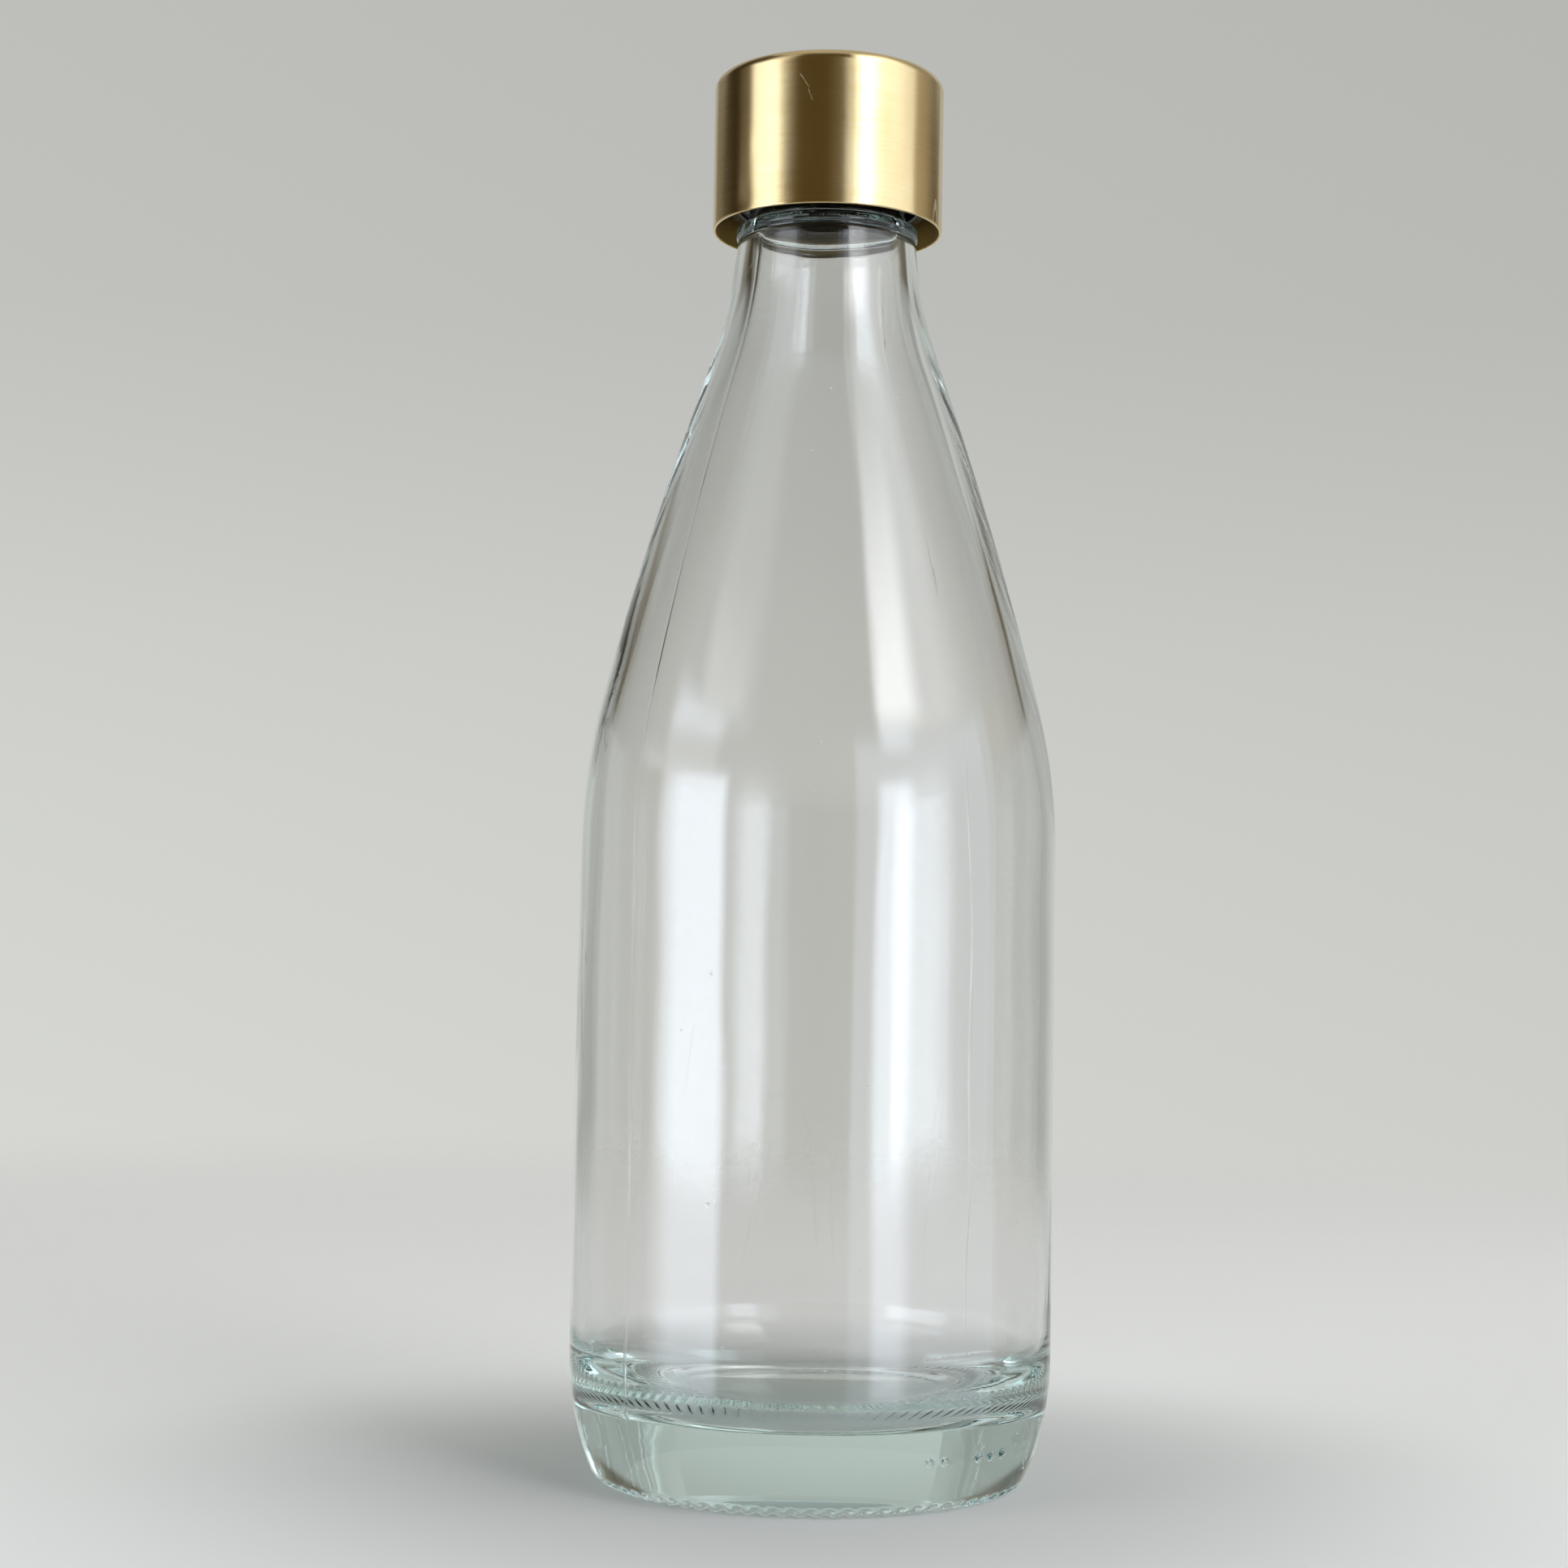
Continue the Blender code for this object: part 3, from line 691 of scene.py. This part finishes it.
def brushedGold(s):
    made, tree, shader, place = newMaterial("brushed_gold_anodising")
    scale, squeeze, detail, grit = s["brushing"]
    lines = noise(tree, stretched(tree, place, squeeze), scale, detail, grit)
    drift = remap(tree, noise(tree, place, s["drift"], 2.0), *s["driftRange"])
    axes = axesOf(tree, place)
    scratches = hairsOn(tree, place, s)
    front = calc(tree, "LESS_THAN", axes["Y"], 0.0)
    for start, end in s["marks"]:
        mark = nearSegment(tree, axes["X"], axes["Z"], start, end, s["markWidth"])
        scratches = largest(tree, scratches, times(tree, mark, front))
    pale = times(tree, remap(tree, lines, *s["paleRange"]), s["paleShare"])
    tone = blendColour(tree, drift, s["deepGold"], s["gold"])
    tone = blendColour(tree, pale, tone, s["paleGold"])
    tone = blendColour(tree, times(tree, scratches, s["scratchShare"]), tone, s["scratchGold"])
    tone = blendColour(tree, specksOn(tree, place, s), tone, s["speckGold"])
    rough = plus(tree, s["roughness"], times(tree, lines, s["brushRoughness"]))
    rough = plus(tree, rough, times(tree, scratches, s["scratchRoughness"]))
    # The inside was never polished, so it is rougher. Its darker, deeper gold is painted shade,
    # standing in for the light bouncing inside the cap
    flat = node(tree, "ShaderNodeCombineXYZ", {"X": axes["X"], "Y": axes["Y"]}).outputs[0]
    axle = node(tree, "ShaderNodeVectorMath", {0: flat}, operation="LENGTH").outputs["Value"]
    within = calc(tree, "LESS_THAN", axle, (s["bore"] + 0.1) * mm)
    below = calc(tree, "LESS_THAN", axes["Z"], (s["top"] - 1.0) * mm)
    insideRoughAndShaded = times(tree, within, below)
    rough = plus(tree, rough, times(tree, insideRoughAndShaded, s["innerRoughness"]))
    # Painted shade: the inside of the shell gets a darker, deeper gold
    tone = blendColour(tree, insideRoughAndShaded, tone, s["shadedInnerGold"])
    link(tree, tone, shader.inputs["Base Color"])
    link(tree, rough, shader.inputs["Roughness"])
    shader.inputs["Metallic"].default_value = 1.0
    shader.inputs["Anisotropic"].default_value = s["anisotropy"]
    shader.inputs["Anisotropic Rotation"].default_value = s["anisotropicTurn"]
    tangent = node(tree, "ShaderNodeTangent", direction_type="RADIAL", axis="Z")
    link(tree, tangent.outputs[0], shader.inputs["Tangent"])
    height = minus(tree, lines, times(tree, scratches, s["scratchDepth"]))
    bumpOn(tree, shader, height, *s["bump"])
    return made


shell = goldShell(shellForm)
shell.data.materials.append(brushedGold(shellForm))
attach(shell, "cap")
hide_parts("outer_shell")
print("gold shell:", len(shell.data.polygons), "faces")


# The threaded inner cap

innerForm = {
    "columns": 288, "radius": 12.7, "bore": 11.2, "skirt": 159.2, "roof": 173.5, "top": 175.25,
    "hub": 0.5, "topRound": 0.6, "skirtRound": 0.15, "mouthRound": 0.25, "roofRound": 0.3,
    "rings": ((159, 0.08), (159.6, 0.12), (160, 0.22), (172.8, 0.22), (173.4, 0.3), (176, 0.3)),
    "disc": (10.2, 5),
    "ribs": 24, "ribProud": 1.2, "ribHalf": 0.45, "ribFlank": (0.16, -0.1),
    "ribFrom": (160.8, 161.1), "ribTo": (173.2, 172.9),
    "thread": {"pitch": 3.175, "low": 159.54, "turns": 2.2, "start": 0.1, "fade": 0.06,
               "depth": 1.0, "foot": 0.95, "crest": 0.3},
    "colour": (0.016, 0.016, 0.017, 1), "shade": (0.028, 0.028, 0.030, 1),
    "worn": (0.11, 0.11, 0.11, 1), "wornShare": 0.5,
    "roughness": 0.16, "uneven": 0.12, "hairRoughness": 0.12, "bump": (0.30, 0.03),
    "skin": (2600.0, 240.0), "hairs": (110.0, 0.003, 0.4), "specks": (420.0, 0.18, 0.06),
}


def innerCap(c):
    line = roundedLine([
        (c["hub"], c["top"], 0), (c["radius"], c["top"], c["topRound"]),
        (c["radius"], c["skirt"], c["skirtRound"]), (c["bore"], c["skirt"], c["mouthRound"]),
        (c["bore"], c["roof"], c["roofRound"]), (c["hub"], c["roof"], 0)])
    line = thinDisc(spread(line, c["rings"]), *c["disc"])
    radius, height = line.T
    angles = evenAngles(c["columns"])
    outside = np.arange(len(line)) < np.argmin(height)
    pitchAngle = fullTurn / c["ribs"]
    off = np.abs((angles / pitchAngle) % 1 - 0.5) * pitchAngle * c["radius"] * mm
    rib = softStep(*((c["ribHalf"] + flank) * mm for flank in c["ribFlank"]), off)
    onWall = outside * (radius > (c["radius"] - 0.02) * mm)
    ribRows = between(height, c["ribFrom"], c["ribTo"]) * onWall
    push = c["ribProud"] * mm * rib[None, :] * ribRows[:, None]
    # The thread stands inward from the bore
    nearBore = (radius < (c["bore"] + 0.05) * mm) * (radius > (c["bore"] - 0.3) * mm)
    push = push + threadRidge(angles, height, c["thread"]) * (~outside * nearBore)[:, None]
    return turnedSolid("threaded_cap", line, angles, push)


def blackCap(c):
    made, tree, shader, _, height = mouldedFinish("black_moulded_polypropylene", c)
    bumpOn(tree, shader, height, *c["bump"])
    return made


insert = innerCap(innerForm)
insert.data.materials.append(blackCap(innerForm))
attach(insert, "cap")
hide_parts("inner_cap")
print("threaded inner cap:", len(insert.data.polygons), "faces")


# The foam liner

linerForm = {
    "columns": 144, "radius": 10.9, "low": 172.2, "high": 173.2, "round": 0.2, "hub": 0.4,
    "rings": ((172, 0.3), (174, 0.3)),
    # The lip's imprint: middle, half width and depth
    "ring": (8.55, 1.1, 0.08),
    "colour": (0.80, 0.80, 0.77, 1), "shade": (0.70, 0.69, 0.64, 1),
    "worn": (0.42, 0.41, 0.38, 1), "wornShare": 0.6,
    "roughness": 0.62, "uneven": 0.2, "bump": (0.5, 0.06),
    "cells": 5200.0, "skin": (3000.0, 300.0), "skinShare": 0.5, "specks": (500.0, 0.1, 0.07),
}


def foamLiner(f):
    line = roundedLine([
        (f["hub"], f["high"], 0), (f["radius"], f["high"], f["round"]),
        (f["radius"], f["low"], f["round"]), (f["hub"], f["low"], 0)])
    line, angles = spread(line, f["rings"]), evenAngles(f["columns"])
    # The lip has pressed a shallow ring into the underside
    centre, width, depth = f["ring"]
    under = line[:, 1] < (f["low"] + 0.01) * mm
    dent = np.exp(-((line[:, 0] / mm - centre) / width) ** 4) * under * depth * mm
    return turnedSolid("foam_liner", line, angles, -dent[:, None])


def whiteFoam(f):
    made, tree, shader, place, skin = mouldedFinish("white_closed_cell_foam", f)
    cells = node(tree, "ShaderNodeTexVoronoi", {"Vector": place, "Scale": f["cells"]})
    height = plus(tree, cells.outputs["Distance"], times(tree, skin, f["skinShare"]))
    bumpOn(tree, shader, height, *f["bump"])
    return made


liner = foamLiner(linerForm)
liner.data.materials.append(whiteFoam(linerForm))
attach(liner, "liner_carrier")
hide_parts("sealing_liner")
print("foam liner:", len(liner.data.polygons), "faces")


# The pouring plug

plugForm = {
    "columns": 144, "soft": 0.12,
    "outline": ((5.9, 171.9), (9.0, 171.9), (9.0, 171.0), (6.9, 171.0), (6.9, 157.9), (6.5, 157.5),
                (2.85, 157.5), (2.85, 160.5), (3.65, 160.5), (3.65, 159.1), (5.9, 159.1)),
    "rings": ((157, 0.13), (160.7, 0.13), (161.5, 0.5), (170.2, 0.5), (170.8, 0.13), (172, 0.13)),
    "colour": (0.008, 0.008, 0.0085, 1), "shade": (0.015, 0.015, 0.016, 1),
    "worn": (0.06, 0.06, 0.06, 1), "wornShare": 0.4,
    "roughness": 0.55, "uneven": 0.15, "bump": (0.4, 0.04),
    "skin": (2200.0, 300.0), "hairs": (150.0, 0.004, 0.4),
    "dullTo": 159.2, "sheenFrom": 160.2, "sheen": 0.5,
}


def pouringPlug(p):
    corners = [(*c, p["soft"]) for c in p["outline"]]
    first, last = np.array(corners[0][:2]), np.array(corners[-1][:2])
    middle = (first + last) / 2
    line = roundedLine([(*middle, 0), *corners, (*middle, 0)])[:-1]
    line = spread(line, p["rings"])[:-1]
    return turnedSolid("pouring_plug", line, evenAngles(p["columns"]), loop=True)


def blackPlug(p):
    made, tree, shader, place, height = mouldedFinish("black_moulded_polyethylene", p)
    # The lower end is sandy from the mould and has no sheen
    level = axesOf(tree, place)["Z"]
    sheen = remap(tree, level, p["dullTo"] * mm, p["sheenFrom"] * mm, 0.0, p["sheen"])
    link(tree, sheen, shader.inputs["Specular IOR Level"])
    bumpOn(tree, shader, height, *p["bump"])
    return made


plug = pouringPlug(plugForm)
plug.data.materials.append(blackPlug(plugForm))
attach(plug, "bottle")
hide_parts("orifice_reducer")
print("pouring plug:", len(plug.data.polygons), "faces")


# Camera, floor and studio light

cameraForm = {
    "distance": 0.3467, "height": 0.0634, "pitch": 3.736, "yaw": -0.719, "roll": 0.946,
    "focal": 3398.2, "imageWidth": 1932, "sensor": 36.0, "clip": (0.01, 20),
}


def photoCamera(c):
    # The view direction from pitch and yaw, its side and up directions turned by the roll
    pitch, yaw, roll = np.radians([c["pitch"], c["yaw"], c["roll"]])
    level = np.array([np.sin(yaw), np.cos(yaw), 0])
    forward = level * np.cos(pitch) + np.array([0, 0, np.sin(pitch)])
    side = np.array([np.cos(yaw), -np.sin(yaw), 0])
    up = np.cross(side, forward)
    right = np.cos(roll) * side + np.sin(roll) * up
    top = np.cos(roll) * up - np.sin(roll) * side
    data = bpy.data.cameras.new("photo_camera")
    data.sensor_width = c["sensor"]
    data.lens = c["focal"] / c["imageWidth"] * c["sensor"]
    data.clip_start, data.clip_end = c["clip"]
    camera = bpy.data.objects.new("photo_camera", data)
    place = Matrix([[right[i], top[i], -forward[i]] for i in range(3)]).to_4x4()
    place.translation = (0, -c["distance"], c["height"])
    camera.matrix_world = place
    scene.collection.objects.link(camera)
    scene.camera = camera


photoCamera(cameraForm)

studio = {
    "floorColour": (0.80, 0.80, 0.785), "floorShade": 0.97, "floorGrain": (420.0, 0.04),
    "floorDrift": (9.0, 0.05), "floorTone": 0.45, "floorRoughness": 0.85, "floorSheen": 0.2,
    "floorColumns": 96, "floorRings": 40, "floorHub": 0.02, "floorOver": 1.05,
    # Solid up to the first distance and gone at the second, in metres
    "floorSolid": 0.24, "floorEnd": 0.75,
    # Within these distances in metres the glow fades out round the bottle: painted shade
    "floorGlow": 0.325, "paintedShadeCore": 0.02, "paintedShadeEdge": 0.11,
    # (elevation in degrees, brightness) of the backdrop, from below the floor to overhead
    "backdrop": ((-90, 0.60), (-12, 0.60), (-4, 0.645), (3.2, 0.612), (6.5, 0.588), (9.9, 0.545),
                 (13.2, 0.509), (20, 0.49), (90, 0.52)),
    "backdropTint": (1.0, 1.012, 0.965, 1), "leftToRight": -0.16, "fill": 0.42,
    # Metres, then degrees round and up
    "tentReach": 1.0, "tentMiddle": 0.1,
    "tentAround": (-158, 158), "tentUpward": (-34, 62), "tentStep": 2.0,
    "tentDark": 0.064, "tentDarkTint": "warm", "tentSolid": (98, 112),
    "tints": {"warm": (1.36, 1.0, 0.42), "tan": (1.13, 1.0, 0.77), "grey": (0.98, 1.0, 0.95),
              "clear": (0.985, 1.0, 1.02), "cool": (0.91, 1.0, 1.13)},
}

# Soft panels on the tent's wall: tint and brightness, then azimuth from the camera's side of the
# bottle, right positive, and elevation, each in degrees as from, to, softness at from and at to
panels = {
    "rear left": ("grey", 0.50, (-180, -144, 0, 16), (-90, 90, 0, 0)),
    "rear right": ("grey", 0.54, (146, 180, 8, 0), (-90, 90, 0, 0)),
    "left wall": ("tan", 0.16, (-150, -133, 10, 16), (-90, 90, 0, 0)),
    "left corner": ("warm", 0.024, (-128, -96, 8, 8), (12, 90, 4, 0)),
    "left wall low": ("grey", 0.40, (-152, -110, 12, 14), (-90, 13, 0, 3)),
    "left wall high": ("grey", 0.40, (-152, -126, 12, 14), (22, 90, 4, 0)),
    "right wall": ("tan", 0.42, (90, 118, 6, 34), (-90, 90, 0, 0)),
    "right wall low": ("grey", 0.42, (96, 152, 10, 8), (-90, 13, 0, 3)),
    "right wall high": ("grey", 0.34, (100, 152, 20, 8), (22, 90, 4, 0)),
    "right corner high": ("grey", 0.60, (137, 152, 6, 6), (22, 90, 4, 0)),
    "front wash": ("warm", 0.07, (-46, 17, 16, 2), (-90, 24, 0, 6)),
    "front edge": ("tan", 0.17, (4, 17, 14, 2), (-90, 24, 0, 6)),
    "window right": ("cool", 1.44, (17, 94, 3, 3), (-22, 22, 8, 6)),
    "window right high": ("clear", 1.9, (31, 86, 6, 40), (22, 62, 6, 16)),
    "window right top": ("clear", 5.8, (29, 52, 5, 14), (25.5, 41, 5, 16)),
    "window right core": ("cool", 5.0, (28, 44, 5, 10), (-18, 13, 6, 4)),
    "window left": ("clear", 1.0, (-82, -51, 6, 6), (-22, 24, 8, 5)),
    "window left high": ("clear", 0.6, (-66, -36, 10, 10), (22, 60, 5, 10)),
    "window left core": ("cool", 4.4, (-74, -44, 16, 5), (-18, 13, 8, 4)),
    "window left top": ("cool", 2.4, (-82, -50, 10, 10), (20.5, 27, 4, 3)),
    "window left neck": ("clear", 1.5, (-68, -42, 8, 8), (26, 34, 4, 6)),
    "window right mid": ("cool", 3.4, (30, 46, 6, 10), (20, 25.5, 3, 3)),
    "left gleam": ("clear", 0.9, (-98, -82, 5, 5), (13, 15.9, 1, 1)),
}


def softBox(value, edges, least=0.01):
    # 1 between the edges, with a smooth ramp of the given width centred on each
    low, high, lowSoft, highSoft = edges
    rise = softStep(low - lowSoft / 2 - least, low + lowSoft / 2 + least, value)
    fall = softStep(high - highSoft / 2 - least, high + highSoft / 2 + least, value)
    return rise * (1 - fall)


def seenRays(tree):
    # 1 for rays that show a surface: straight, mirrored or refracted ones
    path = node(tree, "ShaderNodeLightPath").outputs
    return largest(tree, path["Is Camera Ray"], path["Is Glossy Ray"], path["Is Transmission Ray"])


def studioTent(s):
    # Most of an upright cylinder round the bottle, open at the back, whose wall carries the soft
    # panels. The camera looks through it. Towards the front, so do rays that were only refracted:
    # seen from behind, the glass shows the backdrop and not the dark front of the tent.
    count = [int(np.ptp(s[key]) / s["tentStep"]) for key in ("tentAround", "tentUpward")]
    around = np.linspace(*s["tentAround"], count[0] + 1)
    upward = np.linspace(*s["tentUpward"], count[1] + 1)
    azimuth, elevation = np.meshgrid(around, upward)
    turn, reach = np.radians(azimuth), s["tentReach"]
    height = s["tentMiddle"] + reach * np.tan(np.radians(elevation))
    points = np.stack([reach * np.sin(turn), -reach * np.cos(turn), height], 2)
    tints = {name: np.array(tint) for name, tint in s["tints"].items()}
    glow = np.ones(points.shape) * s["tentDark"] * tints[s["tentDarkTint"]]
    for tint, bright, across, upAndDown in panels.values():
        mask = (softBox(azimuth, across) * softBox(elevation, upAndDown))[:, :, None]
        glow = glow * (1 - mask) + mask * bright * tints[tint]
    i, j = np.meshgrid(np.arange(count[1]), np.arange(count[0]), indexing="ij")
    a = (i * (count[0] + 1) + j).ravel()
    faces = np.stack([a, a + 1, a + count[0] + 2, a + count[0] + 1], 1)
    tent = newPiece("light_tent", points.reshape(-1, 3), faces)
    opaque = np.ones((glow.size // 3, 1))
    layer = tent.data.attributes.new("glow", "FLOAT_COLOR", "POINT")
    layer.data.foreach_set("color", np.concatenate([glow.reshape(-1, 3), opaque], 1).ravel())
    solid = tent.data.attributes.new("solid", "FLOAT", "POINT")
    solid.data.foreach_set("value", softStep(*s["tentSolid"], np.abs(azimuth)).ravel())
    made, tree, shader, _ = newMaterial("light_tent")
    tree.nodes.remove(shader)
    colour = node(tree, "ShaderNodeAttribute", attribute_name="glow").outputs["Color"]
    light = node(tree, "ShaderNodeEmission", {"Color": colour, "Strength": 1.0})
    path = node(tree, "ShaderNodeLightPath").outputs
    unmirrored = calc(tree, "LESS_THAN", path["Glossy Depth"], 0.5)
    straight = times(tree, unmirrored, path["Is Transmission Ray"])
    solidShare = node(tree, "ShaderNodeAttribute", attribute_name="solid").outputs["Fac"]
    through = times(tree, straight, minus(tree, 1.0, solidShare))
    clear = node(tree, "ShaderNodeBsdfTransparent")
    mixShaders(tree, through, light.outputs[0], clear.outputs[0])
    tent.data.materials.append(made)
    tent.visible_camera = False
    tent.visible_shadow = False


def studioWorld(s):
    # A pale backdrop all round, which changes with the height of the ray. It lights the
    # object less than it shows, so that the panels give the light its direction.
    world = bpy.data.worlds.new("pale_studio")
    scene.world = world
    world.use_nodes = True
    tree = world.node_tree
    tree.nodes.clear()
    axes = axesOf(tree, node(tree, "ShaderNodeTexCoord").outputs["Generated"])
    height = calc(tree, "ARCSINE", axes["Z"])
    steps = s["backdrop"]
    level = steps[0][1]
    for (low, dim), (high, bright) in zip(steps, steps[1:]):
        part = remap(tree, height, np.radians(low), np.radians(high), 0.0, bright - dim, "LINEAR")
        level = plus(tree, level, part)
    sideways = plus(tree, 1.0, times(tree, axes["X"], s["leftToRight"]))
    share = remap(tree, seenRays(tree), 0.0, 1.0, s["fill"], 1.0, "LINEAR")
    strength = times(tree, times(tree, level, sideways), share)
    back = node(tree, "ShaderNodeBackground", {"Color": s["backdropTint"], "Strength": strength})
    link(tree, back.outputs[0], node(tree, "ShaderNodeOutputWorld").inputs["Surface"])


def studioFloor(s):
    rows, columns = s["floorRings"], s["floorColumns"]
    rings = np.linspace(s["floorHub"], 1, rows)[:, None] * s["floorEnd"] * s["floorOver"]
    angles = evenAngles(columns)
    level = np.zeros((rows, columns))
    disc = np.stack([rings * np.cos(angles), rings * np.sin(angles), level], 2).reshape(-1, 3)
    j = np.arange(columns)
    hub = np.stack([np.full(columns, len(disc)), j, (j + 1) % columns], 1)
    points = np.concatenate([disc, [[0, 0, 0]]])
    floor = newPiece("pale_floor", points, np.concatenate([gridFaces(rows, columns, 0), hub]))
    made, tree, shader, place = newMaterial("pale_floor")
    (grainScale, grainShare), (driftScale, driftShare) = s["floorGrain"], s["floorDrift"]
    grain = times(tree, noise(tree, place, grainScale, 4.0, 0.6), grainShare)
    drift = times(tree, noise(tree, place, driftScale, 2.0), driftShare)
    tone = calc(tree, "ADD", s["floorTone"], plus(tree, grain, drift), clamp=True)
    shaded = (*(s["floorShade"] * c for c in s["floorColour"]), 1)
    colour = blendColour(tree, tone, shaded, (*s["floorColour"], 1))
    link(tree, colour, shader.inputs["Base Color"])
    shader.inputs["Roughness"].default_value = s["floorRoughness"]
    shader.inputs["Specular IOR Level"].default_value = s["floorSheen"]
    # A little glow brings the floor up to the backdrop. It fades out close round the bottle, which
    # paints shade on the floor there, on top of the real shadow
    apart = node(tree, "ShaderNodeVectorMath", {0: place}, operation="LENGTH").outputs["Value"]
    # Painted shade: no glow under the bottle, full glow from the outer distance on
    reach = remap(tree, apart, s["paintedShadeCore"], s["paintedShadeEdge"], 0.0, s["floorGlow"])
    link(tree, colour, shader.inputs["Emission Color"])
    link(tree, times(tree, seenRays(tree), reach), shader.inputs["Emission Strength"])
    clear = node(tree, "ShaderNodeBsdfTransparent")
    away = remap(tree, apart, s["floorSolid"], s["floorEnd"])
    mixShaders(tree, away, shader.outputs[0], clear.outputs[0])
    floor.data.materials.append(made)
    floor.visible_glossy = False


studioWorld(studio)
studioTent(studio)
studioFloor(studio)
# Light that runs inside the thick glass edges is mirrored many times before it leaves
bounces = 20
scene.cycles.max_bounces = bounces
scene.cycles.glossy_bounces = scene.cycles.transmission_bounces = bounces
scene.view_settings.view_transform = "Standard"
print("camera, floor and lights are in place")
